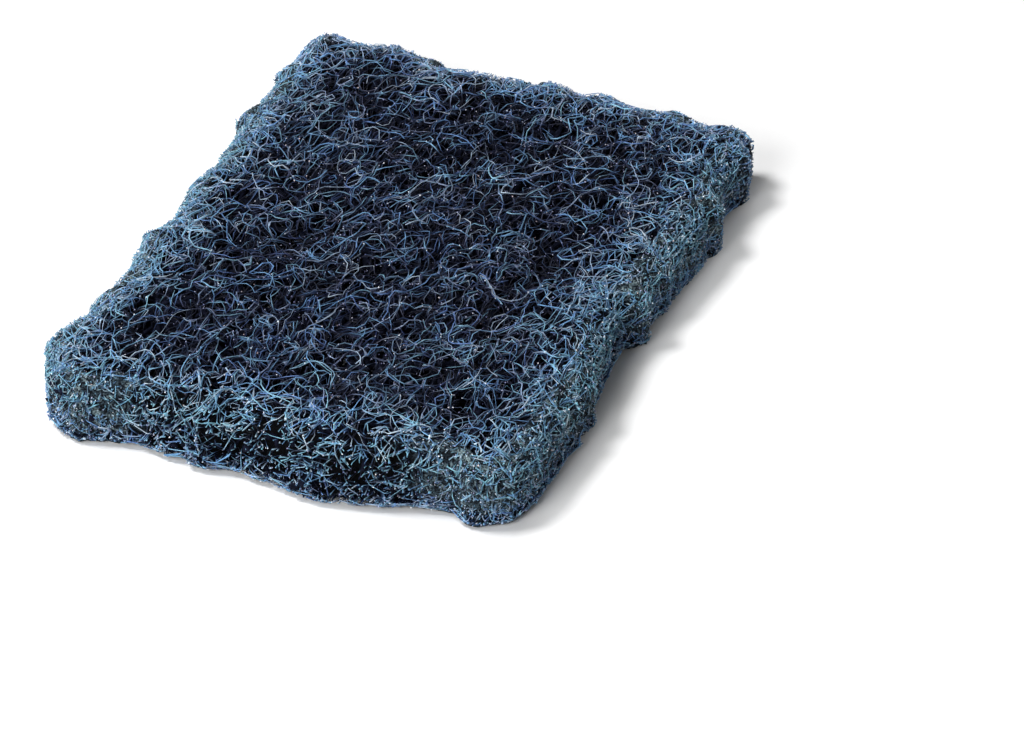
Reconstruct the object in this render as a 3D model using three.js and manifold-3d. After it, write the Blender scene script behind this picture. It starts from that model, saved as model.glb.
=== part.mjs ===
// A coarse scouring pad: one thick slab cut from a web of curled fibre that is bonded where it crosses.
// It is a single piece, so it is a single solid with a wavy cut edge, gaps between its strands,
// and strands that stand up as ridges and bridge some of the gaps.

import * as THREE from 'three';
import { mergeVertices } from 'three/addons/utils/BufferGeometryUtils.js';
import Module from 'manifold-3d';

const wasm = await Module();
wasm.setup();

// Driving dimensions in millimetres: X across the pad, Y along it, Z up from its flat underside.
const CUT_WIDTH = 100;
const CUT_LENGTH = 140;
const THICKNESS = 17;
const RIDGE_HEIGHT = 2.9;
const STRAND_RADIUS = 0.85;

// How far the cut edge stands out from the cut size: pairs of a place along the edge and a distance.
const BACK_EDGE = [
	[-48.5, 2.5], [-45, 2], [-38, 0], [-30, 2.8], [-24, 1.8], [-17, -2.2], [-12, -0.6], [-5, -1.2],
	[0, 0], [6, 2], [9.5, 0.5], [11.8, -2.6], [15.5, 1.5], [25, -2.4], [33, 0.6], [41, -2], [47, 0],
];
const RIGHT_EDGE = [
	[67, -1.2], [62, 0.6], [57, 1.4], [48, 0.2], [40, 1.2], [30, 1.8], [18, 1.2], [4, -0.6],
	[-10, -2.6], [-24, -0.6], [-37, 0], [-48, 0], [-63, -1.4],
];
const FRONT_EDGE = [
	[46, -1.8], [36, -1.6], [26, 0.2], [18, 3.4], [9, 4.8], [0, 3.4], [-11, 1.6], [-19, 1.4],
	[-25, 1.8], [-31, 0.2], [-36, 3.4], [-42, 3],
];
const LEFT_EDGE = [
	[-67, -1.6], [-59, 0], [-50, 0.2], [-39, -0.8], [-28, -0.4], [-19, 0.4], [-13, -0.8], [-2, -0.6],
	[6.5, 0.8], [11.5, -1.2], [20, 0], [28, 0.6], [38, 1.4], [47, 1.2], [56, 0.4], [66, 1.6],
];
const EDGE_STEPS = 104;

// The rim's section from the underside up: inset from the cut edge, and height as a share of thickness.
const RIM_SECTION = [
	[2.4, 0], [0.9, 0.15], [0.6, 0.38], [1, 0.56], [2.4, 0.7], [5.2, 0.84], [8.6, 1.02],
];
const RIM_ROUGHNESS = 1.1;

// The top under the ridges rises and sinks a little.
const TOP_SWELL = 0.55;
const TOP_CELL = 10;

// Gaps between strands: a staggered lattice on each face and a row round the cut edge.
const TOP_GAPS = { columns: 7, rows: 11, margin: 9, shake: 1.8 };
const UNDER_GAPS = { columns: 4, rows: 6, margin: 18, shake: 3 };
const EDGE_GAPS = 19;
const FACE_GAP = { width: 9.4, depth: 6.8 };
const EDGE_GAP = { width: 8.5, depth: 5 };
const TOP_GAP_SCALE = [0.7, 1.3];
const UNDER_GAP_SCALE = [0.4, 0.65];
const EDGE_GAP_SCALE = [0.8, 1.2];
const EDGE_GAP_LEVEL = [0.34, 0.6];
const GAP_SIDES = 6;
const GAP_PROUD = 1.5;
const MOUTH_SHARE = 0.7;

// Strands that show as ridges, each one a curl with both its ends sunk in the slab.
const TOP_STRANDS = { columns: 7, rows: 10, margin: 11, shake: 2.5 };
const EDGE_STRANDS = 20;
const STRAND_SIDES = 3;
const STRAND_STEPS = 6;
const CURL_POINTS = 5;
const CURL_RADIUS = [5, 9.5];
const CURL_SWEEP = [2, 3.5];
const SUNK_END = -1.5;
const EDGE_STRAND_LEVEL = 0.45;

// A small generator with a fixed start, so that every run gives the same pad.
let state = 42;
function between(low, high) {
	state = (state * 16807) % 2147483647;
	return low + (high - low) * state / 2147483647;
}

function cutEdge() {
	const points = [
		...BACK_EDGE.map(([x, out]) => new THREE.Vector3(x, CUT_LENGTH / 2 + out, 0)),
		...RIGHT_EDGE.map(([y, out]) => new THREE.Vector3(CUT_WIDTH / 2 + out, y, 0)),
		...FRONT_EDGE.map(([x, out]) => new THREE.Vector3(x, -CUT_LENGTH / 2 - out, 0)),
		...LEFT_EDGE.map(([y, out]) => new THREE.Vector3(-CUT_WIDTH / 2 - out, y, 0)),
	];
	const ring = new THREE.CatmullRomCurve3(points, true, 'centripetal').getSpacedPoints(EDGE_STEPS);
	ring.pop();
	return ring;
}

// Inward direction at each point of the edge, smoothed over its neighbours so that notches stay open.
function inwardDirections(ring) {
	const reach = 4;
	const count = ring.length;
	return ring.map((point, i) => {
		const along = ring[(i + reach) % count].clone().sub(ring[(i - reach + count) % count]);
		return new THREE.Vector3(along.y, -along.x, 0).normalize();
	});
}

const edge = cutEdge();
const inward = inwardDirections(edge);

// The place round the edge that is nearest a fractional step.
function edgeStep(step) {
	return Math.round(step + EDGE_STEPS) % EDGE_STEPS;
}

function crownHeight(x, y) {
	const long = Math.sin(x * 0.11 + 0.6) * Math.cos(y * 0.085 - 0.4);
	const short = 0.6 * Math.sin(x * 0.21 - y * 0.17 + 2);
	return THICKNESS - RIDGE_HEIGHT + TOP_SWELL * (long + short - 1);
}

// The crown's height, or the rim's where that is lower.
function topHeight(x, y) {
	const inset = Math.max(0, Math.min(CUT_WIDTH / 2 - Math.abs(x), CUT_LENGTH / 2 - Math.abs(y)));
	const above = RIM_SECTION.findIndex(([out, share]) => share > 0.5 && out > inset);
	if (above < 0) {
		return crownHeight(x, y);
	}
	const [outer, low] = RIM_SECTION[above - 1];
	const [inner, high] = RIM_SECTION[above];
	const share = THREE.MathUtils.mapLinear(Math.max(inset, outer), outer, inner, low, high);
	return Math.min(crownHeight(x, y), share * THICKNESS);
}

// Inset of the rim's rough side at a share of the thickness.
function sideInset(share) {
	const above = Math.max(1, RIM_SECTION.findIndex(([, level]) => level > share));
	const [outer, low] = RIM_SECTION[above - 1];
	const [inner, high] = RIM_SECTION[above];
	return RIM_ROUGHNESS / 3 + THREE.MathUtils.mapLinear(share, low, high, outer, inner);
}

// Merges a closed geometry's shared corners, so that only position is left.
function welded(geometry) {
	geometry.deleteAttribute('normal');
	geometry.deleteAttribute('uv');
	return mergeVertices(geometry, 1e-4);
}

function solidOf(geometry) {
	const closed = welded(geometry);
	return new wasm.Manifold(new wasm.Mesh({
		numProp: 3,
		vertProperties: Float32Array.from(closed.attributes.position.array),
		triVerts: Uint32Array.from(closed.index.array),
	}));
}

function geometryOf(solid) {
	const mesh = solid.getMesh();
	const geometry = new THREE.BufferGeometry();
	geometry.setAttribute('position', new THREE.BufferAttribute(Float32Array.from(mesh.vertProperties), 3));
	geometry.setIndex(Array.from(mesh.triVerts));
	geometry.computeVertexNormals();
	return geometry;
}

// A closed surface through stacked rings of equal length, with a flat cap at each end.
function loftOf(rings) {
	const count = rings[0].length;
	const faces = [];
	for (let r = 0; r + 1 < rings.length; r++) {
		for (let i = 0; i < count; i++) {
			const a = r * count + i;
			const b = r * count + (i + 1) % count;
			faces.push(a, a + count, b, b, a + count, b + count);
		}
	}
	const capOf = (ring) => THREE.ShapeUtils.triangulateShape(
		ring.map((point) => new THREE.Vector2(point.x, point.y)), [],
	);
	for (const [a, b, c] of capOf(rings[0])) {
		faces.push(c, b, a);
	}
	const last = (rings.length - 1) * count;
	for (const [a, b, c] of capOf(rings.at(-1))) {
		faces.push(last + a, last + b, last + c);
	}
	const geometry = new THREE.BufferGeometry().setFromPoints(rings.flat());
	geometry.setIndex(faces);
	return geometry;
}

// The slab with its cut edge, whose rough middle stands between a smooth foot and shoulder.
function slab() {
	const rings = RIM_SECTION.map(([inset, share], level) => edge.map((point, i) => {
		const smooth = level === 0 || level >= RIM_SECTION.length - 2;
		const rough = smooth ? 0 : RIM_ROUGHNESS * between(0, 1);
		const moved = point.clone().addScaledVector(inward[i], inset + rough);
		moved.z = share * THICKNESS;
		return moved;
	}));
	return solidOf(loftOf(rings));
}

// Everything below the swelling top.
function crown() {
	const size = 2 * THICKNESS;
	const across = CUT_WIDTH + size;
	const along = CUT_LENGTH + size;
	const columns = Math.round(across / TOP_CELL);
	const rows = Math.round(along / TOP_CELL);
	const block = new THREE.BoxGeometry(across, along, size, columns, rows, 1);
	const place = block.attributes.position;
	for (let i = 0; i < place.count; i++) {
		if (place.getZ(i) > 0) {
			place.setZ(i, crownHeight(place.getX(i), place.getY(i)));
		}
	}
	return solidOf(block);
}

// A gap is an uneven pit that narrows as it goes in along the direction given.
function gap(place, direction, size, scale) {
	const depth = size.depth * scale;
	const mouth = MOUTH_SHARE * size.width * between(0.8, 1.25);
	const pit = welded(new THREE.ConeGeometry(mouth, depth + GAP_PROUD, GAP_SIDES, 1));
	pit.rotateY(between(0, Math.PI));
	const points = pit.attributes.position;
	for (let i = 0; i < points.count; i++) {
		const grow = between(0.72, 1.28);
		points.setXYZ(i, points.getX(i) * grow, points.getY(i), points.getZ(i) * grow);
	}
	pit.translate(0, (depth - GAP_PROUD) / 2, 0);
	pit.applyQuaternion(new THREE.Quaternion().setFromUnitVectors(new THREE.Vector3(0, 1, 0), direction));
	pit.translate(place.x, place.y, place.z);
	return solidOf(pit);
}

// Places of a staggered lattice inside a margin of the cut size, each one shaken a little.
function lattice({ columns, rows, margin, shake }) {
	const across = (CUT_WIDTH - 2 * margin) / (columns - 0.5);
	const along = (CUT_LENGTH - 2 * margin) / (rows - 1);
	const places = [];
	for (let row = 0; row < rows; row++) {
		for (let column = 0; column < columns; column++) {
			const x = margin - CUT_WIDTH / 2 + (column + (row % 2) / 2) * across;
			const y = margin - CUT_LENGTH / 2 + row * along;
			places.push(new THREE.Vector2(x + shake * between(-1, 1), y + shake * between(-1, 1)));
		}
	}
	return places;
}

function gaps() {
	const down = new THREE.Vector3(0, 0, -1);
	const up = new THREE.Vector3(0, 0, 1);
	const pits = [];
	for (const { x, y } of lattice(TOP_GAPS)) {
		const mouth = new THREE.Vector3(x, y, topHeight(x, y));
		pits.push(gap(mouth, down, FACE_GAP, between(...TOP_GAP_SCALE)));
	}
	for (const { x, y } of lattice(UNDER_GAPS)) {
		pits.push(gap(new THREE.Vector3(x, y, 0), up, FACE_GAP, between(...UNDER_GAP_SCALE)));
	}
	for (let i = 0; i < EDGE_GAPS; i++) {
		const at = edgeStep((i + between(-0.2, 0.2)) * EDGE_STEPS / EDGE_GAPS);
		const mouth = edge[at].clone().setZ(THICKNESS * between(...EDGE_GAP_LEVEL));
		pits.push(gap(mouth, inward[at], EDGE_GAP, between(...EDGE_GAP_SCALE)));
	}
	return pits.reduce((all, pit) => all.add(pit));
}

function strand(points) {
	const section = new THREE.Shape(Array.from({ length: STRAND_SIDES }, (_, i) => {
		const angle = 2 * Math.PI * i / STRAND_SIDES;
		return new THREE.Vector2(STRAND_RADIUS * Math.cos(angle), STRAND_RADIUS * Math.sin(angle));
	}));
	const path = new THREE.CatmullRomCurve3(points);
	return solidOf(new THREE.ExtrudeGeometry(section, {
		steps: STRAND_STEPS, extrudePath: path, bevelEnabled: false,
	}));
}

// A curl over a surface: locate gives the point at a place on the surface, raised by a height.
function curl(locate) {
	const radius = between(...CURL_RADIUS);
	const sweep = between(...CURL_SWEEP);
	const start = between(0, 2 * Math.PI);
	const flatness = between(0.65, 1);
	const points = Array.from({ length: CURL_POINTS }, (_, i) => {
		const angle = start + sweep * i / (CURL_POINTS - 1);
		const end = i === 0 || i === CURL_POINTS - 1;
		const lift = end ? SUNK_END : between(0.6, 1) * (RIDGE_HEIGHT - STRAND_RADIUS);
		return locate(radius * Math.cos(angle), flatness * radius * Math.sin(angle), lift);
	});
	return strand(points);
}

function strands() {
	const curls = lattice(TOP_STRANDS).map((place) => curl((u, v, lift) => {
		const x = place.x + u;
		const y = place.y + v;
		return new THREE.Vector3(x, y, topHeight(x, y) + lift);
	}));
	const spacing = edge[0].distanceTo(edge[1]);
	for (let i = 0; i < EDGE_STRANDS; i++) {
		const middle = (i + 0.5) * EDGE_STEPS / EDGE_STRANDS;
		curls.push(curl((u, v, lift) => {
			const at = edgeStep(middle + u / spacing);
			const share = EDGE_STRAND_LEVEL + v / 2 / THICKNESS;
			const point = edge[at].clone().addScaledVector(inward[at], sideInset(share) - lift);
			return point.setZ(share * THICKNESS);
		}));
	}
	return curls.reduce((all, one) => all.add(one));
}

const body = slab().intersect(crown()).subtract(gaps()).add(strands());

// The finished pad is centred over the origin.
const shape = geometryOf(body);
shape.computeBoundingBox();
const middle = shape.boundingBox.getCenter(new THREE.Vector3());
shape.translate(-middle.x, -middle.y, 0);

const pad = new THREE.Mesh(
	shape,
	new THREE.MeshStandardMaterial({ color: 0x2b4a6b, roughness: 0.55, metalness: 0 }),
);
pad.name = 'scouring_pad';

const group = new THREE.Group();
group.name = 'whole_pad';
group.add(pad);

export default group;
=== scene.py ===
"""A coarse scouring pad: a springy slab of kinked blue fibres, bonded with resin where they cross."""
import math
from dataclasses import dataclass

import bpy
import numpy as np
from mathutils import Matrix, Vector
from mathutils.bvhtree import BVHTree
from mathutils.kdtree import KDTree


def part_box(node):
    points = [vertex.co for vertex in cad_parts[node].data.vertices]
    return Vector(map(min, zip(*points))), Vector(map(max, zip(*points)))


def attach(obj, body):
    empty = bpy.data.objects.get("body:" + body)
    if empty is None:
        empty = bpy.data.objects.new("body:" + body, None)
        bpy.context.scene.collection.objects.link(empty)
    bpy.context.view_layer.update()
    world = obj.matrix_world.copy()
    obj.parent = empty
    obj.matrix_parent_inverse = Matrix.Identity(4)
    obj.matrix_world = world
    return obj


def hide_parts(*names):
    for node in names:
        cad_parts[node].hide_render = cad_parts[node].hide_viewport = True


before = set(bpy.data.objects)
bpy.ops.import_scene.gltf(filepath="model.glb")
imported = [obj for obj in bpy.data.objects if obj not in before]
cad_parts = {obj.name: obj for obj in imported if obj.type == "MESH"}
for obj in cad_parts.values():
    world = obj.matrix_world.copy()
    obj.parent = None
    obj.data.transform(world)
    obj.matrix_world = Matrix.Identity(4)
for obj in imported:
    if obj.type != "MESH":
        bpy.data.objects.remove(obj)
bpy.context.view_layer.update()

MM = 0.001
NODE = "scouring_pad"
low, high = (np.array(corner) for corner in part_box(NODE))
THICKNESS = float(high[2])
rng = np.random.default_rng(seed=88)


@dataclass
class Fibre:
    """One kind of fibre, with its sizes in metres and its angles in radians."""

    length: float  # of all the fibres of this kind together
    radius: float
    step: float  # from one point of a path to the next
    steps: int
    curl_radius: float
    kink_share: float  # of the points, and kink is how sharply the path turns at them
    kink: float
    pitch: float  # how steeply the path climbs and falls


SURFACE = Fibre(
    length=146.0, radius=0.091 * MM, step=1.65 * MM, steps=30,
    curl_radius=3.3 * MM, kink_share=0.3, kink=0.85, pitch=0.5,
)
# Thick fibres deep in the web, painted near black: they stand for the shade inside it
SHADOW_CORE = Fibre(
    length=30.0, radius=0.6 * MM, step=3.2 * MM, steps=20,
    curl_radius=5.0 * MM, kink_share=0.16, kink=0.8, pitch=0.7,
)
RIM = Fibre(
    length=22.0, radius=0.09 * MM, step=1.2 * MM, steps=7,
    curl_radius=2.6 * MM, kink_share=0.3, kink=0.9, pitch=0.8,
)
MATTED = Fibre(
    length=10.0, radius=0.12 * MM, step=1.2 * MM, steps=5,
    curl_radius=2.6 * MM, kink_share=0.2, kink=0.9, pitch=0.75,
)

# How a fibre runs. Reaches are in steps, and DRAWN_OUT stretches the web across and along the pad
CURL_REACH = 3
PITCH_REACH = 2
PITCH_KINK = 0.15
DRAWN_OUT = (0.82, 1.18)
OVERRUN = 24 * MM
COMPANION_SHARE = 0.12
COMPANION_GAP = 0.45 * MM
SUNK = 0.5 * MM
RADII_OFF_FLOOR = 3.2
LEAST_POINTS = 3
LEAST_END = 0.05
BATCH = 600
RIM_BATCH = 6000

# A fibre's section: its sides, how widths differ between fibres, and how one fibre's width wavers
SIDES = 3
WIDTH_SPREAD = (0.75, 1.25)
WAVER = 0.22
WAVER_LIMITS = (-0.8, 2.2)

# How deep under the nearest face things lie. Depth counts UNDER_PACE times as fast from below
SURFACE_DEPTH = 2.3 * MM
SHADOW_CORE_DEPTH = 2.1 * MM
GRAIN_DEPTH = 2.6 * MM
UNDER_PACE = 1.7
PROUD = 0.6 * MM

# The top face: how far its middle height lies under the tallest strands, and its hills and hollows
TOP_DROP = 1.2 * MM
SWELL = 0.5 * MM
RELIEF = 0.2 * MM
RELIEF_SIZE = 6.0 * MM
RELIEF_SPREAD = (0.7, 1.6)
RELIEF_WAVES = 16
RELIEF_FADE = 6.0 * MM

# The cut edge, found by rays from outside at these shares of the thickness
EDGE_RAYS = 720
EDGE_SHARES = (0.2, 0.35, 0.5, 0.65, 0.75)
EDGE_WINDOW = 3

# The rim, where the cutting blade has crushed the web
RIM_HEIGHT = 0.62
RIM_WIDTH = 3.8 * MM
# How far in from the cut edge the teal rim tone reaches
RIM_TONE_REACH = 5.0 * MM
RIM_BAND = 3.0 * MM
MATTED_BAND = 1.5 * MM
FUZZ_LEAST = 0.2
MATTED_LEAST = 0.1
FOOT_INSET = 1.6 * MM
FOOT_LIFT = 1.6 * MM
RAGGED = 0.15 * MM

# Where it is crushed, as the start and span of each rise over shares of the pad's half sides
CRUSHED_CORNER = (0.35, 0.4)
CRUSHED_EDGE = (0.85, 0.1)
CRUSHED_EDGE_MOST = 0.6
CRUSHED_FULLY = 0.5

# Where the rim tone is withdrawn as painted shade, near the foot and towards the back, as the same pairs
# over shares of the thickness and of the half length
FOOT_SHADE_RISE = (0.15, 0.45)
FOOT_SHADE_LEAST = 0.15
BACK_SHADE = (0.65, 0.2)

# The felt that the blade has made of the rim: pairs of an inset in mm and a share of the thickness
FELT_SECTION = [
    (7.0, 0.55), (5.6, 0.78), (4.0, 0.79), (2.6, 0.73), (1.5, 0.65), (0.8, 0.55), (0.4, 0.43),
    (0.4, 0.28), (0.9, 0.14), (2.0, 0.05), (0.9, 0.02),
]
FELT_LEVELS = 26
FELT_ROUGH = 0.14 * MM
FELT_SUNK = (2.4 * MM, 1.2 * MM)
FELT_FLOOR = 0.3 * MM
FELT_NORMAL_REACH = 10

# Voids that the fibres bunch around
VOID_SIZE = 4.2 * MM
VOID_SPREAD = (0.6, 1.6)
VOID_WAVES = 18
VOID_PUSH = 0.5 * MM
VOID_LIFT = 0.3

# Resin where fibres cross, and the abrasive grains stuck to them
BOND_REACH = 0.3 * MM
BOND_SWELL = 1.35
WEBS = 4000
WEB_GAP = (0.3 * MM, 0.9 * MM)
WEB_RIM_LEAST = 0.1
WEB_THICKNESS = 0.12 * MM
LUMPS = 2200
LUMP_SIZE = (0.22 * MM, 0.42 * MM)
LUMP_STRETCH = 1.5
LUMP_NARROWING = (0.7, 1)
GRAINS = 16000
FELT_GRAINS = 3000
GRAIN_SIZE = (0.14 * MM, 0.24 * MM)
GRAIN_UNEVEN = (0.7, 1.3)
GRAIN_SHAKE = 0.15
GRAIN_FLOOR = 0.5 * MM

MAX_TRIANGLES = 195_000
DEPTH_SPAN = 8

# The photo's view, with its angles in degrees and its aim and distance in mm
AZIMUTH, ELEVATION, ROLL = 19.9, 33.9, 1.62
AIM = (29.0, -18.5, 0)
DISTANCE = 835
LENS = 152.5
SENSOR = 36

# Each lamp's name, place, size and power. AMBIENT is the light of the room
LAMPS = [
    ("key_light", (-0.6, -0.2, 1.1), 0.4, 13.5),
    ("front_light", (-0.2, -0.95, 0.6), 0.6, 10),
    ("side_light", (0.9, -0.1, 0.7), 0.6, 0.4),
]
AMBIENT = 0.1
WHITE = (1, 1, 1, 1)
PAPER = (0.82, 0.82, 0.82, 1)
FLOOR_HALF = 6.0
FLOOR_GLOW = 0.2
FLOOR_GLOW_EDGE = (-6 * MM, 1 * MM)
FAR_GLOW = (0.22, 0.6)


def solid_tree(node):
    mesh = node.data
    corners = [v.co.copy() for v in mesh.vertices]
    return BVHTree.FromPolygons(corners, [tuple(p.vertices) for p in mesh.polygons])


def cut_edge():
    """The pad's outline in plan, as the outermost hit of the solid's sides at each angle."""
    tree = solid_tree(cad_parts[NODE])
    far = float(np.abs([low, high]).max()) * 2
    reach = np.zeros(EDGE_RAYS)
    angles = np.linspace(0, 2 * math.pi, EDGE_RAYS, endpoint=False)
    for share in EDGE_SHARES:
        for i, a in enumerate(angles):
            out = Vector((math.cos(a), math.sin(a), 0))
            hit = tree.ray_cast(out * far + Vector((0, 0, share * THICKNESS)), -out)[0]
            if hit is not None:
                reach[i] = max(reach[i], hit.xy.length)
    window = np.stack([np.roll(reach, k) for k in range(-EDGE_WINDOW, EDGE_WINDOW + 1)])
    reach = np.median(window, axis=0)
    return np.stack([reach * np.cos(angles), reach * np.sin(angles)], 1), reach


class Plan:
    """Distance inside the cut edge at any place in plan, negative outside it, from a fine grid."""

    cell = 0.5 * MM
    border = 4 * MM

    def __init__(self):
        self.edge, reach = cut_edge()
        margin = OVERRUN + self.border
        self.origin = low[:2] - margin
        size = np.ceil((high[:2] - low[:2] + 2 * margin) / self.cell).astype(int) + 1
        xs = self.origin[0] + self.cell * np.arange(size[0])
        ys = self.origin[1] + self.cell * np.arange(size[1])
        angles = np.linspace(0, 2 * math.pi, len(reach) + 1)
        reach = np.append(reach, reach[0])
        self.grid = np.empty((size[0], size[1]))
        for i, x in enumerate(xs):
            gap = np.hypot(x - self.edge[None, :, 0], ys[:, None] - self.edge[None, :, 1]).min(1)
            there = np.interp(np.arctan2(ys, x) % (2 * math.pi), angles, reach)
            self.grid[i] = np.where(np.hypot(x, ys) < there, gap, -gap)

    def inside(self, xy):
        at = (xy - self.origin) / self.cell
        top = np.array(self.grid.shape) - 1.001
        at = np.clip(at, 0, top)
        i = at.astype(int)
        f = at - i
        g = self.grid
        a = g[i[:, 0], i[:, 1]] * (1 - f[:, 0]) + g[i[:, 0] + 1, i[:, 1]] * f[:, 0]
        b = g[i[:, 0], i[:, 1] + 1] * (1 - f[:, 0]) + g[i[:, 0] + 1, i[:, 1] + 1] * f[:, 0]
        return a * (1 - f[:, 1]) + b * f[:, 1]


def relief_field():
    angle = rng.uniform(0, 2 * math.pi, RELIEF_WAVES)
    size = RELIEF_SIZE * rng.uniform(*RELIEF_SPREAD, RELIEF_WAVES)
    waves = np.stack([np.cos(angle), np.sin(angle)]) * 2 * math.pi / size
    return waves, rng.uniform(0, 2 * math.pi, RELIEF_WAVES)


def void_field():
    waves = rng.standard_normal((VOID_WAVES, 3))
    waves /= np.linalg.norm(waves, axis=1)[:, None]
    size = VOID_SIZE * rng.uniform(*VOID_SPREAD, VOID_WAVES)
    phase = rng.uniform(0, 2 * math.pi, VOID_WAVES)
    return waves, 2 * math.pi / size, phase


plan = Plan()
hills = relief_field()
voids = void_field()


def swell(xy):
    """The broad, low swell of the whole top face."""
    x, y = xy[:, 0] / MM, xy[:, 1] / MM
    return SWELL * (
        np.sin(0.11 * x + 0.6) * np.cos(0.085 * y - 0.4) + 0.6 * np.sin(0.21 * x - 0.17 * y + 2)
    )


def relief(xy):
    """Small hills and hollows of the top face, about RELIEF high."""
    waves, phase = hills
    return RELIEF * math.sqrt(2 / RELIEF_WAVES) * np.sin(xy @ waves + phase).sum(1)


def uncut_top(xy, inside):
    """Height of the web's top before the blade crushed its rim."""
    away = 1 - np.exp(-np.clip(inside, 0, None) / RELIEF_FADE)
    return THICKNESS - TOP_DROP + swell(xy) + relief(xy) * away


def faces_at(xy, inside):
    """Heights of the pad's underside and top, which close in towards the cut edge."""
    closeness = np.exp(-np.clip(inside, 0, None) / RIM_WIDTH)
    top = uncut_top(xy, inside) * (1 - (1 - RIM_HEIGHT) * closeness)
    near = np.clip(1 - np.clip(inside, 0, None) / FOOT_INSET, 0, 1)
    bottom = FOOT_LIFT * near**2
    return bottom, top


def depth_of(points):
    """How deep each point lies under the nearest face or cut side, counted faster from the underside."""
    inside = plan.inside(points[:, :2])
    bottom, top = faces_at(points[:, :2], inside)
    above = UNDER_PACE * (points[:, 2] - bottom)
    return np.clip(np.minimum(np.minimum(top - points[:, 2], above), inside), 0, None)


def rising(value, start, span, least=0, most=1):
    """0 at start and 1 a span further on, but never less than least or more than most."""
    return np.clip((value - start) / span, least, most)


def crushed(spots):
    """How hard the blade has crushed the web: most at the corners, and least along the front."""
    x, y = (spots / high[:2]).T
    corner = rising(np.abs(x * y), *CRUSHED_CORNER)
    edge = rising(np.maximum(np.abs(x), y), *CRUSHED_EDGE, most=CRUSHED_EDGE_MOST)
    return np.maximum(corner, edge)


def rim_tone_with_painted_shade(points):
    """How far each point takes the teal rim tone: most at the cut edge, less near the foot and none at the
    back, which is painted shade.
    """
    lift = rising(points[:, 2] / THICKNESS, *FOOT_SHADE_RISE, least=FOOT_SHADE_LEAST)
    lift *= 1 - rising(points[:, 1] / high[1], *BACK_SHADE)
    return lift * np.exp(-np.clip(plan.inside(points[:, :2]), 0, None) / RIM_TONE_REACH)


def smooth_noise(rows, steps, reach):
    """Noise of unit size along each row, smooth over reach steps."""
    offsets = np.arange(-2 * reach, 2 * reach + 1)
    kernel = np.exp(-0.5 * (offsets / reach) ** 2)
    kernel /= np.sqrt((kernel**2).sum())
    white = rng.standard_normal((rows, steps + len(offsets)))
    return sum(k * white[:, j : j + steps] for j, k in enumerate(kernel))


def bunched(points):
    """Points moved away from the voids between strands, mostly sideways."""
    waves, pace, phase = voids
    turn = points @ (waves * pace[:, None]).T + phase
    push = np.cos(turn) @ (waves * [1, 1, VOID_LIFT])
    return points + VOID_PUSH * math.sqrt(2 / VOID_WAVES) * push


def softened(z):
    """Rows of heights with their sharp turns rounded off."""
    inner = (z[:, :-2] + 2 * z[:, 1:-1] + z[:, 2:]) / 4
    return np.concatenate([z[:, :1], inner, z[:, -1:]], axis=1)


def turns(kind, count):
    """Changes of direction along each fibre: a gentle curl, with a sharp kink here and there."""
    curl = smooth_noise(count, kind.steps, CURL_REACH) * kind.step / kind.curl_radius
    sharp = rng.random((count, kind.steps)) < kind.kink_share
    return curl + sharp * rng.standard_normal((count, kind.steps)) * kind.kink


def with_companions(paths):
    """The paths, and close beside some of them a second fibre that follows the same run."""
    twin = paths[rng.random(len(paths)) < COMPANION_SHARE]
    drift = [smooth_noise(len(twin), paths.shape[1], CURL_REACH) * COMPANION_GAP for _ in range(3)]
    drift[2] /= THICKNESS
    return np.concatenate([paths, twin + np.stack(drift, 2)])


def between_faces(kind, paths):
    """Paths whose heights were shares of the thickness, laid between the pad's faces."""
    points = paths.reshape(-1, 3)
    top = uncut_top(points[:, :2], plan.inside(points[:, :2]))
    sunk = np.repeat(rng.uniform(0, SUNK, len(paths)), kind.steps)
    points[:, 2] = np.clip(points[:, 2], 0, 1) * (top - sunk)
    points = bunched(points)
    inside = plan.inside(points[:, :2])
    bottom, top = faces_at(points[:, :2], inside)[0], uncut_top(points[:, :2], inside)
    points[:, 2] = np.clip(points[:, 2], bottom + RADII_OFF_FLOOR * kind.radius, top + SUNK - sunk)
    return points.reshape(paths.shape)


def fibre_paths(kind, starts):
    """Kinked paths through the pad's thickness, one row of points for each start in plan."""
    count = len(starts)
    heading = rng.uniform(0, 2 * math.pi, (count, 1)) + np.cumsum(turns(kind, count), 1)
    pitch = smooth_noise(count, kind.steps, PITCH_REACH) * kind.pitch
    pitch += rng.standard_normal((count, kind.steps)) * PITCH_KINK
    flat = np.cos(pitch) * kind.step
    step = np.stack([np.cos(heading) * flat * DRAWN_OUT[0], np.sin(heading) * flat * DRAWN_OUT[1]], 2)
    xy = starts[:, None] + np.cumsum(step, 1) - step.sum(1, keepdims=True) / 2
    climb = np.cumsum(np.sin(pitch), 1) * kind.step / THICKNESS
    share = rng.uniform(0, 1, (count, 1)) + climb
    share = softened(1 - np.abs((share % 2) - 1))
    return between_faces(kind, with_companions(np.concatenate([xy, share[:, :, None]], 2)))


def inside_cut(paths):
    """How far each point lies inside the cut rim, with every fibre cut a little unevenly."""
    flat = paths.reshape(-1, 3)
    inside = plan.inside(flat[:, :2])
    under = faces_at(flat[:, :2], inside)[1] + PROUD - flat[:, 2]
    inside = np.minimum(inside, under).reshape(paths.shape[:2])
    return inside - rng.uniform(-RAGGED, RAGGED, (len(paths), 1))


def cut_back(paths, inside, keep):
    """The paths with the first point past the rim moved back onto it, and the points to keep."""
    ends = (inside <= 0) & (np.roll(keep, 1, 1) | np.roll(keep, -1, 1))
    ends[:, [0, -1]] = False
    moved = paths.copy()
    for shift in (1, -1):
        i, j = np.nonzero(ends & np.roll(keep, -shift, 1))
        near, out = inside[i, j + shift], inside[i, j]
        share = np.clip(near / (near - out + 1e-12), LEAST_END, 1)[:, None]
        moved[i, j] = paths[i, j + shift] + (paths[i, j] - paths[i, j + shift]) * share
    return moved, keep | (ends & (np.roll(keep, 1, 1) ^ np.roll(keep, -1, 1)))


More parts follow.
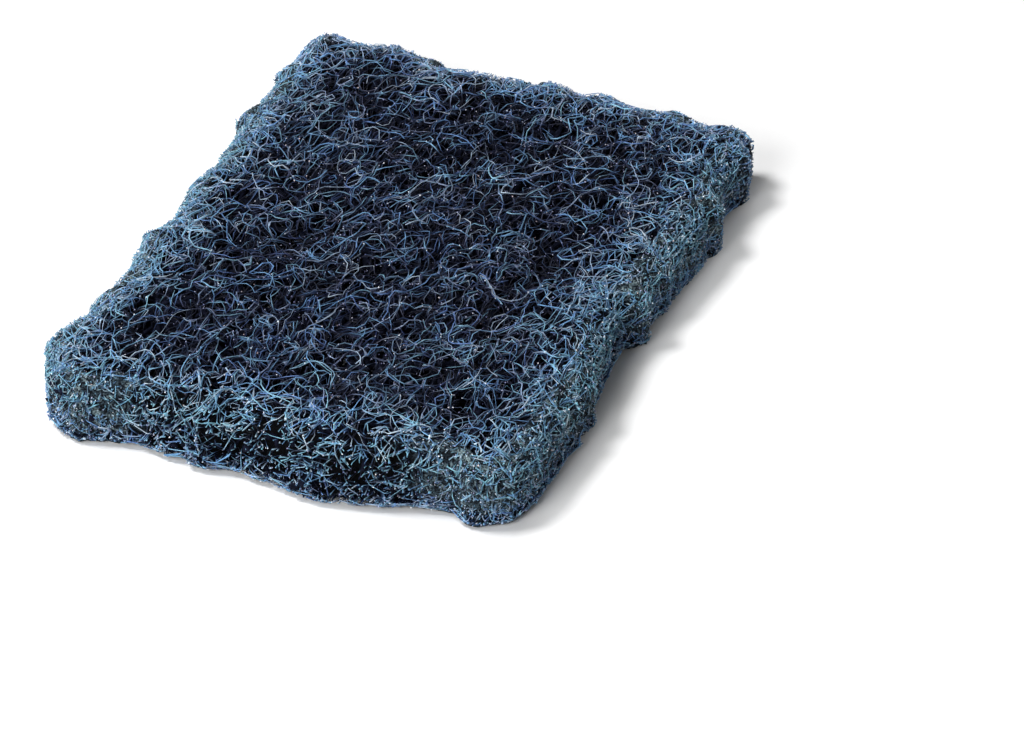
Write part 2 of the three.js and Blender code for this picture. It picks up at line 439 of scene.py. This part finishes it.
def clipped(paths, shallow, deep):
    """The stretches of the paths inside the cut rim, at depths from shallow to deep."""
    inside = inside_cut(paths)
    depth = depth_of(paths.reshape(-1, 3)).reshape(paths.shape[:2])
    keep = (inside > 0) & (depth >= shallow) & (depth <= deep)
    moved, kept = cut_back(paths, inside, keep)
    stretches = []
    for row, on_row in zip(moved, kept):
        on = np.flatnonzero(on_row)
        breaks = np.flatnonzero(np.diff(on) > 1) + 1
        stretches += [row[part] for part in np.split(on, breaks) if len(part) >= LEAST_POINTS]
    return stretches


def length_of(kind, stretches):
    return sum(len(s) - 1 for s in stretches) * kind.step


def scattered(kind, shallow, deep):
    """Stretches of one kind of fibre through the whole pad, up to its length in metres."""
    low_side, high_side = low[:2] - OVERRUN, high[:2] + OVERRUN
    stretches, total = [], 0.0
    while total < kind.length:
        paths = fibre_paths(kind, rng.uniform(low_side, high_side, (BATCH, 2)))
        found = clipped(paths, shallow, deep)
        stretches += found
        total += length_of(kind, found)
    return stretches


def along_rim(kind, band, least):
    """Short stretches of one kind of fibre close to the cut edge, most of them where it is crushed."""
    stretches, total = [], 0.0
    while total < kind.length:
        spots = rng.uniform(low[:2], high[:2], (RIM_BATCH, 2))
        inside = plan.inside(spots)
        likely = least + (1 - least) * crushed(spots)
        spots = spots[(inside > 0) & (inside < band) & (rng.random(len(spots)) < likely)]
        found = clipped(fibre_paths(kind, spots), 0, band)
        stretches += found
        total += length_of(kind, found)
    return stretches


class Bonds:
    """Places where two fibres pass close by, with both fibres drawn together there."""

    def __init__(self, stretches):
        self.lengths = np.array([len(s) for s in stretches])
        points = np.concatenate(stretches)
        self.owner = np.repeat(np.arange(len(self.lengths)), self.lengths)
        tree = KDTree(len(points))
        for i, point in enumerate(points):
            tree.insert(point, i)
        tree.balance()
        self.partner = np.full(len(points), -1)
        for i, point in enumerate(points):
            _, j, gap = tree.find_n(point, 2)[1]
            if gap < BOND_REACH and self.owner[j] != self.owner[i]:
                self.partner[i] = j
        self.tied = self.partner >= 0
        self.points = points.copy()
        self.points[self.tied] = (points[self.tied] + points[self.partner[self.tied]]) / 2

    def stretches(self):
        return np.split(self.points, np.cumsum(self.lengths)[:-1])

    def swells(self):
        return np.split(np.where(self.tied, BOND_SWELL, 1.0), np.cumsum(self.lengths)[:-1])

    def webs(self):
        """Corners of the thin resin webs that span the sharp angle between two bonded fibres."""
        last = len(self.points) - 1
        found = []
        first = np.flatnonzero(self.tied)
        other = self.partner[first]
        for a in (-1, 1):
            for b in (-1, 1):
                i, j = np.clip(first + a, 0, last), np.clip(other + b, 0, last)
                same = (self.owner[i] == self.owner[first]) & (self.owner[j] == self.owner[other])
                gap = np.linalg.norm(self.points[i] - self.points[j], axis=1)
                chosen = same & (gap < WEB_GAP[1]) & (gap > WEB_GAP[0]) & (first < other)
                found.append(np.stack([first[chosen], i[chosen], j[chosen]], 1))
        found = np.concatenate(found)
        from_rim = np.clip(plan.inside(self.points[found[:, 0], :2]) / RIM_BAND, WEB_RIM_LEAST, 1)
        order = np.argsort(rng.random(len(found)) * from_rim)
        return self.points[found[order[:WEBS]]]


def across(points, starts, ends, owner):
    """Two directions at each point of the fibres, square to the fibre and to each other."""
    ahead = np.minimum(np.arange(len(points)) + 1, (ends - 1)[owner])
    behind = np.maximum(np.arange(len(points)) - 1, starts[owner])
    along = points[ahead] - points[behind]
    along /= np.linalg.norm(along, axis=1)[:, None] + 1e-12
    side = np.cross(along, [0.0, 0.0, 1.0])
    side /= np.linalg.norm(side, axis=1)[:, None] + 1e-9
    return side, np.cross(side, along)


def tube_faces(starts, ends, owner):
    """The walls and the end caps of tubes whose rings of SIDES corners follow one another."""
    first = np.flatnonzero(np.arange(len(owner)) < (ends - 1)[owner]) * SIDES
    walls = []
    for k in range(SIDES):
        n = (k + 1) % SIDES
        walls.append(np.stack([first + k, first + n, first + SIDES + n, first + SIDES + k], 1))
    caps = np.concatenate([
        starts[:, None] * SIDES + np.arange(SIDES)[::-1],
        (ends - 1)[:, None] * SIDES + np.arange(SIDES),
    ])
    return [np.concatenate(walls), caps]


def tube_mesh(name, stretches, swells, kind):
    """One mesh of capped tubes along the stretches, with a tint for each fibre."""
    lengths = np.array([len(s) for s in stretches])
    points = np.concatenate(stretches)
    ends = np.cumsum(lengths)
    starts = ends - lengths
    owner = np.repeat(np.arange(len(lengths)), lengths)
    side, up = across(points, starts, ends, owner)
    width = kind.radius * rng.uniform(*WIDTH_SPREAD, len(lengths))[owner] * np.concatenate(swells)
    width = width * (1 + WAVER * np.clip(smooth_noise(1, len(points), 1)[0], *WAVER_LIMITS))
    turn = rng.uniform(0, 2 * math.pi, len(lengths))[owner]
    rings = []
    for k in range(SIDES):
        a = turn + 2 * math.pi * k / SIDES
        rings.append(points + width[:, None] * (np.cos(a)[:, None] * side + np.sin(a)[:, None] * up))
    vertices = np.stack(rings, 1).reshape(-1, 3)
    tint = rng.uniform(0, 1, len(lengths))[owner]
    return mesh_piece(name, vertices, tube_faces(starts, ends, owner), np.repeat(tint, SIDES))


def prism_mesh(name, corners, thick):
    """Thin three-cornered plates of resin."""
    normal = np.cross(corners[:, 1] - corners[:, 0], corners[:, 2] - corners[:, 0])
    normal /= np.linalg.norm(normal, axis=1)[:, None] + 1e-12
    lift = normal[:, None] * thick / 2
    vertices = np.concatenate([corners - lift, corners + lift], 1).reshape(-1, 3)
    first = np.arange(len(corners))[:, None] * 6
    ends = np.concatenate([first + [2, 1, 0], first + [3, 4, 5]])
    walls = np.concatenate([first + [0, 1, 4, 3], first + [1, 2, 5, 4], first + [2, 0, 3, 5]])
    tint = rng.uniform(0, 1, len(corners))
    return mesh_piece(name, vertices, [ends, walls], np.repeat(tint, 6))


def lump_mesh(name, centres, size_low, size_high, stretch):
    """Small eight-sided lumps, each of its own size, length and direction."""
    count = len(centres)
    frames = np.linalg.qr(rng.standard_normal((count, 3, 3)))[0]
    size = rng.uniform(size_low, size_high, (count, 1)) * np.stack([
        rng.uniform(1, stretch, count),
        rng.uniform(*LUMP_NARROWING, count),
        rng.uniform(*LUMP_NARROWING, count),
    ], 1)
    arms = frames * size[:, None, :]
    arms *= np.sign(np.linalg.det(arms))[:, None, None]
    tips = np.concatenate([arms, -arms], 2).transpose(0, 2, 1) + centres[:, None]
    first = np.arange(count)[:, None] * 6
    faces = [(0, 1, 2), (1, 3, 2), (3, 4, 2), (4, 0, 2), (1, 0, 5), (3, 1, 5), (4, 3, 5), (0, 4, 5)]
    faces = np.concatenate([first + face for face in faces])
    tint = rng.uniform(0, 1, count)
    return mesh_piece(name, tips.reshape(-1, 3), [faces], np.repeat(tint, 6))


def chip_mesh(name, centres, size_low, size_high):
    """Small four-sided chips, each of its own size, shape and direction."""
    count = len(centres)
    frames = np.linalg.qr(rng.standard_normal((count, 3, 3)))[0]
    frames *= np.sign(np.linalg.det(frames))[:, None, None]
    size = rng.uniform(size_low, size_high, (count, 1, 1)) * rng.uniform(*GRAIN_UNEVEN, (count, 4, 1))
    corners = np.array([(1, 1, 1), (1, -1, -1), (-1, 1, -1), (-1, -1, 1)]) / math.sqrt(3)
    tips = size * (corners @ frames) + centres[:, None]
    first = np.arange(count)[:, None] * 4
    faces = np.concatenate([first + face for face in [(0, 1, 2), (0, 3, 1), (0, 2, 3), (1, 3, 2)]])
    tint = rng.uniform(0, 1, count)
    return mesh_piece(name, tips.reshape(-1, 3), [faces], np.repeat(tint, 4))


def inward_of(edge):
    """Unit directions from the cut edge into the pad."""
    ahead, behind = np.roll(edge, -FELT_NORMAL_REACH, 0), np.roll(edge, FELT_NORMAL_REACH, 0)
    inward = np.stack([behind[:, 1] - ahead[:, 1], ahead[:, 0] - behind[:, 0]], 1)
    return inward / np.linalg.norm(inward, axis=1)[:, None]


def felt_mesh(name):
    """The rough felt just inside the cut edge, which lies deeper where the blade hasn't crushed the web, and
    there, painted dark by depth, is a backing of painted shade behind the fibres.
    """
    edge = plan.edge
    key = np.linspace(0, 1, len(FELT_SECTION))
    place = np.linspace(0, 1, FELT_LEVELS)
    inset = np.interp(place, key, [pair[0] * MM for pair in FELT_SECTION])
    height = np.interp(place, key, [pair[1] * THICKNESS for pair in FELT_SECTION])
    spared = 1 - np.clip(crushed(edge) / CRUSHED_FULLY, 0, 1)
    deep = inset[None] + FELT_SUNK[0] * spared[:, None]
    deep = deep + rng.normal(0, FELT_ROUGH, deep.shape)
    xy = edge[:, None] + inward_of(edge)[:, None] * deep[:, :, None]
    z = height[None] - FELT_SUNK[1] * spared[:, None] + rng.normal(0, FELT_ROUGH, deep.shape)
    z = np.clip(z, FELT_FLOOR, None)
    vertices = np.concatenate([xy, z[:, :, None]], 2).reshape(-1, 3)
    columns = np.arange(len(edge))
    here = columns[:, None] * FELT_LEVELS + np.arange(FELT_LEVELS - 1)
    there = np.roll(columns, -1)[:, None] * FELT_LEVELS + np.arange(FELT_LEVELS - 1)
    quads = np.stack([here, here + 1, there + 1, there], 2).reshape(-1, 4)
    return mesh_piece(name, vertices, [quads], np.full(len(vertices), 0.5))


def mesh_piece(name, vertices, groups, tint):
    """A smooth mesh object from arrays of equal-sided faces, which keeps depth, rim and tint per vertex."""
    mesh = bpy.data.meshes.new(name)
    totals = np.concatenate([np.full(len(g), g.shape[1]) for g in groups])
    corners = np.concatenate([g.ravel() for g in groups])
    mesh.vertices.add(len(vertices))
    mesh.vertices.foreach_set("co", vertices.astype(np.float32).ravel())
    mesh.loops.add(len(corners))
    mesh.loops.foreach_set("vertex_index", corners.astype(np.int32))
    mesh.polygons.add(len(totals))
    mesh.polygons.foreach_set("loop_start", (np.cumsum(totals) - totals).astype(np.int32))
    mesh.polygons.foreach_set("use_smooth", np.ones(len(totals), bool))
    mesh.update(calc_edges=True)
    mesh.validate()
    # The depth drives the painted light and shade of the materials, and the rim value drives the teal rim
    # tone with its painted shade
    shades = {"depth": depth_of(vertices) / MM, "rim": rim_tone_with_painted_shade(vertices), "tint": tint}
    for key, array in shades.items():
        layer = mesh.attributes.new(key, "FLOAT", "POINT")
        layer.data.foreach_set("value", array.astype(np.float32))
    piece = bpy.data.objects.new(name, mesh)
    bpy.context.scene.collection.objects.link(piece)
    return piece


class Nodes:
    """Short calls for the shader nodes of one material."""

    def __init__(self, name, roughness, specular=0.5):
        self.mat = bpy.data.materials.new(name)
        self.mat.use_nodes = True
        self.tree = self.mat.node_tree
        self.shader = self.tree.nodes["Principled BSDF"]
        self.shader.inputs["Roughness"].default_value = roughness
        self.shader.inputs["Specular IOR Level"].default_value = specular

    def attribute(self, name):
        node = self.tree.nodes.new("ShaderNodeAttribute")
        node.attribute_name = name
        return node.outputs["Fac"]

    def ramp(self, value, stops):
        node = self.tree.nodes.new("ShaderNodeValToRGB")
        self.tree.links.new(value, node.inputs["Fac"])
        while len(node.color_ramp.elements) < len(stops):
            node.color_ramp.elements.new(0.5)
        for element, (place, colour) in zip(node.color_ramp.elements, stops):
            element.position = place
            element.color = (*colour, 1)
        return node.outputs["Color"]

    def by_depth(self, stops):
        """A ramp over the depth, whose last place is DEPTH_SPAN mm deep, for painting light and shade by
        depth.
        """
        node = self.tree.nodes.new("ShaderNodeMath")
        node.operation = "MULTIPLY"
        self.tree.links.new(self.attribute("depth"), node.inputs[0])
        node.inputs[1].default_value = 1 / DEPTH_SPAN
        return self.ramp(node.outputs[0], stops)

    def mixed(self, kind, factor, a, b):
        node = self.tree.nodes.new("ShaderNodeMix")
        node.data_type = "RGBA"
        node.blend_type = kind
        if isinstance(factor, float):
            node.inputs["Factor"].default_value = factor
        else:
            self.tree.links.new(factor, node.inputs["Factor"])
        self.tree.links.new(a, node.inputs["A"])
        self.tree.links.new(b, node.inputs["B"])
        return node.outputs["Result"]

    def product(self, a, b):
        return self.mixed("MULTIPLY", 1.0, a, b)

    def noise(self, scale, detail):
        node = self.tree.nodes.new("ShaderNodeTexNoise")
        node.inputs["Scale"].default_value = scale
        node.inputs["Detail"].default_value = detail
        place = self.tree.nodes.new("ShaderNodeTexCoord")
        self.tree.links.new(place.outputs["Object"], node.inputs["Vector"])
        return node.outputs["Fac"]

    def finished(self, colour, height, strength, distance):
        """The material, with this colour and with bumps of this height."""
        self.tree.links.new(colour, self.shader.inputs["Base Color"])
        bump = self.tree.nodes.new("ShaderNodeBump")
        bump.inputs["Strength"].default_value = strength
        bump.inputs["Distance"].default_value = distance
        self.tree.links.new(height, bump.inputs["Height"])
        self.tree.links.new(bump.outputs["Normal"], self.shader.inputs["Normal"])
        return self.mat


def fibre_material():
    nodes = Nodes("bonded_fibre", roughness=0.42, specular=0.16)
    nodes.shader.inputs["IOR"].default_value = 1.5
    tint = nodes.attribute("tint")
    inner = nodes.ramp(tint, [
        (0.0, (0.102, 0.172, 0.385)),
        (0.2, (0.108, 0.238, 0.435)),
        (0.4, (0.150, 0.290, 0.450)),
        (0.6, (0.162, 0.325, 0.422)),
        (0.75, (0.205, 0.260, 0.415)),
        (0.92, (0.270, 0.355, 0.455)),
        (1.0, (0.340, 0.400, 0.470)),
    ])
    outer = nodes.ramp(tint, [
        (0.0, (0.080, 0.170, 0.305)),
        (0.3, (0.105, 0.240, 0.325)),
        (0.6, (0.135, 0.300, 0.360)),
        (0.9, (0.195, 0.310, 0.380)),
        (1.0, (0.330, 0.410, 0.465)),
    ])
    # Painted light and shade by depth: the outermost fibres are painted half as light again, and deeper ones
    # are painted darker, to near black 1.2 mm under the faces and cut sides
    painted_depth_shade = nodes.by_depth([
        (0.0, (1.5, 1.5, 1.5)),
        (0.055, (0.80, 0.80, 0.84)),
        (0.1, (0.18, 0.17, 0.24)),
        (0.15, (0.036, 0.033, 0.06)),
        (0.23, (0.010, 0.009, 0.018)),
        (0.4, (0.003, 0.003, 0.006)),
        (1.0, (0.001, 0.001, 0.002)),
    ])
    # Towards the cut edge the fibres take the teal outer colours, which are withdrawn near the foot and at
    # the back as painted shade
    strand = nodes.mixed("MIX", nodes.attribute("rim"), inner, outer)
    grime = nodes.noise(scale=700, detail=3)
    dust = nodes.ramp(grime, [(0.3, (0.5, 0.5, 0.56)), (0.7, (1.35, 1.35, 1.3))])
    colour = nodes.product(nodes.product(strand, painted_depth_shade), dust)
    return nodes.finished(colour, grime, strength=0.35, distance=0.08 * MM)


# Painted shade: near-black fibres, mottled a little, that stand for the shade deep in the web
def shadow_core_material():
    nodes = Nodes("painted_shadow_core", roughness=0.8, specular=0.05)
    weave = nodes.noise(scale=900, detail=3)
    colour = nodes.ramp(weave, [(0.35, (0.002, 0.003, 0.007)), (0.7, (0.010, 0.012, 0.028))])
    return nodes.finished(colour, weave, strength=0.6, distance=0.1 * MM)


def felt_material():
    nodes = Nodes("crushed_felt", roughness=0.8, specular=0.08)
    mottled = nodes.ramp(nodes.noise(scale=650, detail=2), [
        (0.35, (0.007, 0.011, 0.016)),
        (0.5, (0.026, 0.041, 0.053)),
        (0.68, (0.095, 0.130, 0.145)),
    ])
    weave = nodes.noise(scale=2600, detail=4)
    fine = nodes.ramp(weave, [(0.42, (0.08, 0.08, 0.12)), (0.6, (2.2, 2.2, 2.1))])
    # Painted shade: the felt is painted darker with depth, to near black 2 mm under the faces
    painted_depth_shade = nodes.by_depth([
        (0.0, (1.0, 1.0, 1.0)),
        (0.12, (0.80, 0.80, 0.84)),
        (0.18, (0.25, 0.25, 0.30)),
        (0.25, (0.01, 0.01, 0.018)),
    ])
    colour = nodes.product(nodes.product(mottled, fine), painted_depth_shade)
    return nodes.finished(colour, weave, strength=1.0, distance=0.25 * MM)


def grain_material():
    nodes = Nodes("abrasive_grain", roughness=0.3)
    grain = nodes.ramp(nodes.attribute("tint"), [
        (0.0, (0.20, 0.26, 0.50)),
        (0.4, (0.38, 0.38, 0.60)),
        (0.7, (0.60, 0.68, 0.78)),
        (0.92, (0.95, 0.96, 0.98)),
        (1.0, (0.65, 0.48, 0.45)),
    ])
    # Painted light and shade by depth: grains at the faces are painted a fifth lighter, and deeper ones
    # darker, to black 4 mm deep
    painted_depth_shade = nodes.by_depth([
        (0.0, (1.2, 1.2, 1.2)),
        (0.15, (0.70, 0.68, 0.80)),
        (0.33, (0.22, 0.20, 0.30)),
        (0.5, (0.0, 0.0, 0.0)),
    ])
    colour, speckle = nodes.product(grain, painted_depth_shade), nodes.noise(scale=1500, detail=2)
    return nodes.finished(colour, speckle, strength=0.5, distance=0.05 * MM)


def dressed(piece, material):
    piece.data.materials.append(material)
    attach(piece, "root")
    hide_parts(NODE)
    return piece


def layered(name, stretches, swells, kind, material):
    """Pieces of the web from the floor up, each within MAX_TRIANGLES triangles."""
    order = np.argsort([s[:, 2].mean() for s in stretches])
    stretches, swells = [stretches[i] for i in order], [swells[i] for i in order]
    triangles = np.array([(len(s) - 1) * 2 * SIDES + 2 * (SIDES - 2) for s in stretches])
    total = np.cumsum(triangles)
    layers = math.ceil(total[-1] / MAX_TRIANGLES)
    level = np.minimum((total - 1) * layers // total[-1], layers - 1)
    for layer in range(layers):
        here = np.flatnonzero(level == layer)
        chosen, chosen_swells = [stretches[i] for i in here], [swells[i] for i in here]
        dressed(tube_mesh(f"{name}_{layer + 1}", chosen, chosen_swells, kind), material)


def even(stretches):
    """Swells of 1 all along, for fibres without bonds."""
    return [np.ones(len(s)) for s in stretches]


def build_resin(bonds, material):
    dressed(prism_mesh("resin_webs", bonds.webs(), WEB_THICKNESS), material)
    knots = bonds.points[bonds.tied]
    knots = knots[rng.permutation(len(knots))[:LUMPS]]
    knots[:, 2] = np.clip(knots[:, 2], LUMP_SIZE[1] * LUMP_STRETCH, None)
    dressed(lump_mesh("resin_knots", knots, *LUMP_SIZE, LUMP_STRETCH), material)


def build_grains(bonds, felt, material):
    """Abrasive grains on the fibres near the faces and on the felt of the rim."""
    shallow = bonds.points[depth_of(bonds.points) < GRAIN_DEPTH]
    spots = shallow[rng.permutation(len(shallow))[:GRAINS]]
    on_felt = np.array([v.co for v in felt.data.vertices])
    on_felt = on_felt[depth_of(on_felt) < SURFACE_DEPTH / 2]
    spots = np.concatenate([spots, on_felt[rng.permutation(len(on_felt))[:FELT_GRAINS]]])
    spots = spots + rng.uniform(-GRAIN_SHAKE, GRAIN_SHAKE, spots.shape) * MM
    spots[:, 2] = np.clip(spots[:, 2], GRAIN_FLOOR, None)
    dressed(chip_mesh("abrasive_grains", spots, *GRAIN_SIZE), material)


def build_web():
    fibre, grain, shadow_core_paint = fibre_material(), grain_material(), shadow_core_material()
    surface = scattered(SURFACE, 0, SURFACE_DEPTH)
    fuzz = along_rim(RIM, RIM_BAND, FUZZ_LEAST)
    bonds = Bonds(surface + fuzz)
    tied, swells = bonds.stretches(), bonds.swells()
    layered("web_layer", tied[: len(surface)], swells[: len(surface)], SURFACE, fibre)
    layered("rim_fuzz", tied[len(surface) :], swells[len(surface) :], RIM, fibre)
    matted = along_rim(MATTED, MATTED_BAND, MATTED_LEAST)
    layered("matted_rim", matted, even(matted), MATTED, fibre)
    # The near-black core of painted shade, deep in the web
    shadow_core = scattered(SHADOW_CORE, SHADOW_CORE_DEPTH, math.inf)
    layered("shadow_core_layer", shadow_core, even(shadow_core), SHADOW_CORE, shadow_core_paint)
    felt = dressed(felt_mesh("crushed_felt"), felt_material())
    build_resin(bonds, fibre)
    build_grains(bonds, felt, grain)


def aimed(location, target, roll=0.0):
    """A camera or lamp matrix that looks from location to target, turned by roll about its sight."""
    back = (Vector(location) - Vector(target)).normalized()
    right = Vector((0, 0, 1)).cross(back).normalized()
    up = back.cross(right)
    turn = Matrix((right, up, back)).transposed() @ Matrix.Rotation(roll, 3, "Z")
    return Matrix.Translation(location) @ turn.to_4x4()


def build_camera():
    """The photo's view: a long lens from the front right, aimed at the middle of the picture."""
    azimuth, elevation, roll = math.radians(AZIMUTH), math.radians(ELEVATION), math.radians(ROLL)
    aim = Vector(AIM) * MM
    back = Vector((
        math.sin(azimuth) * math.cos(elevation),
        -math.cos(azimuth) * math.cos(elevation),
        math.sin(elevation),
    ))
    data = bpy.data.cameras.new("camera")
    data.sensor_width = SENSOR
    data.lens = LENS
    data.clip_start = 0.01
    data.clip_end = 100
    camera = bpy.data.objects.new("camera", data)
    bpy.context.scene.collection.objects.link(camera)
    camera.matrix_world = aimed(aim + back * DISTANCE * MM, aim, roll)
    bpy.context.scene.camera = camera


def larger(tree, a, b):
    """The larger of two values in a node tree."""
    node = tree.nodes.new("ShaderNodeMath")
    node.operation = "MAXIMUM"
    tree.links.new(a, node.inputs[0])
    tree.links.new(b, node.inputs[1])
    return node.outputs[0]


def seen_directly(tree):
    """A value that is 1 for camera, glossy and transmission rays, and 0 for light."""
    path = tree.nodes.new("ShaderNodeLightPath")
    seen = path.outputs["Is Camera Ray"]
    for kind in ("Is Glossy Ray", "Is Transmission Ray"):
        seen = larger(tree, seen, path.outputs[kind])
    return seen


def build_lamps():
    for name, place, size, power in LAMPS:
        data = bpy.data.lights.new(name, "AREA")
        data.shape = "DISK"
        data.size = size
        data.energy = power
        lamp = bpy.data.objects.new(name, data)
        bpy.context.scene.collection.objects.link(lamp)
        lamp.matrix_world = aimed(place, (0, 0, 0))


def build_world():
    """A dim white room that looks full white where it is seen."""
    world = bpy.data.worlds.new("studio")
    bpy.context.scene.world = world
    world.use_nodes = True
    tree = world.node_tree
    room = tree.nodes["Background"]
    room.inputs["Color"].default_value = WHITE
    room.inputs["Strength"].default_value = AMBIENT
    white = tree.nodes.new("ShaderNodeBackground")
    white.inputs["Color"].default_value = WHITE
    white.inputs["Strength"].default_value = 1.0
    mix = tree.nodes.new("ShaderNodeMixShader")
    tree.links.new(seen_directly(tree), mix.inputs["Fac"])
    tree.links.new(room.outputs[0], mix.inputs[1])
    tree.links.new(white.outputs[0], mix.inputs[2])
    tree.links.new(mix.outputs[0], tree.nodes["World Output"].inputs["Surface"])


def smooth_step(tree, value, start, end, most=1.0):
    """A value in a node tree that goes smoothly from 0 at start to most at end."""
    node = tree.nodes.new("ShaderNodeMapRange")
    node.interpolation_type = "SMOOTHSTEP"
    node.inputs["From Min"].default_value = start
    node.inputs["From Max"].default_value = end
    node.inputs["To Max"].default_value = most
    tree.links.new(value, node.inputs["Value"])
    return node.outputs[0]


def floor_glow(tree):
    """The floor's glow: none beneath the pad, FLOOR_GLOW beside it, and full where the lamps don't reach."""
    place = tree.nodes.new("ShaderNodeNewGeometry")
    parts = tree.nodes.new("ShaderNodeSeparateXYZ")
    tree.links.new(place.outputs["Position"], parts.inputs[0])
    distance = tree.nodes.new("ShaderNodeVectorMath")
    distance.operation = "LENGTH"
    tree.links.new(place.outputs["Position"], distance.inputs[0])
    glow = smooth_step(tree, distance.outputs["Value"], *FAR_GLOW)
    for axis, half in (("X", high[0]), ("Y", high[1])):
        size = tree.nodes.new("ShaderNodeMath")
        size.operation = "ABSOLUTE"
        tree.links.new(parts.outputs[axis], size.inputs[0])
        start, end = half + FLOOR_GLOW_EDGE[0], half + FLOOR_GLOW_EDGE[1]
        glow = larger(tree, glow, smooth_step(tree, size.outputs[0], start, end, FLOOR_GLOW))
    return glow


def floor_material():
    mat = bpy.data.materials.new("pale_floor")
    mat.use_nodes = True
    tree = mat.node_tree
    tree.nodes.clear()
    out = tree.nodes.new("ShaderNodeOutputMaterial")
    paper = tree.nodes.new("ShaderNodeBsdfDiffuse")
    paper.inputs["Color"].default_value = PAPER
    glow = tree.nodes.new("ShaderNodeEmission")
    strength = tree.nodes.new("ShaderNodeMath")
    strength.operation = "MULTIPLY"
    tree.links.new(floor_glow(tree), strength.inputs[1])
    tree.links.new(seen_directly(tree), strength.inputs[0])
    tree.links.new(strength.outputs[0], glow.inputs["Strength"])
    both = tree.nodes.new("ShaderNodeAddShader")
    tree.links.new(paper.outputs[0], both.inputs[0])
    tree.links.new(glow.outputs[0], both.inputs[1])
    tree.links.new(both.outputs[0], out.inputs["Surface"])
    return mat


def build_floor():
    half = FLOOR_HALF
    corners = [(-half, -half, 0), (half, -half, 0), (half, half, 0), (-half, half, 0)]
    mesh = bpy.data.meshes.new("floor")
    mesh.from_pydata(corners, [], [(0, 1, 2, 3)])
    mesh.materials.append(floor_material())
    floor = bpy.data.objects.new("floor", mesh)
    bpy.context.scene.collection.objects.link(floor)


build_camera()
build_lamps()
build_world()
build_floor()
build_web()
bpy.context.scene.view_settings.view_transform = "Standard"
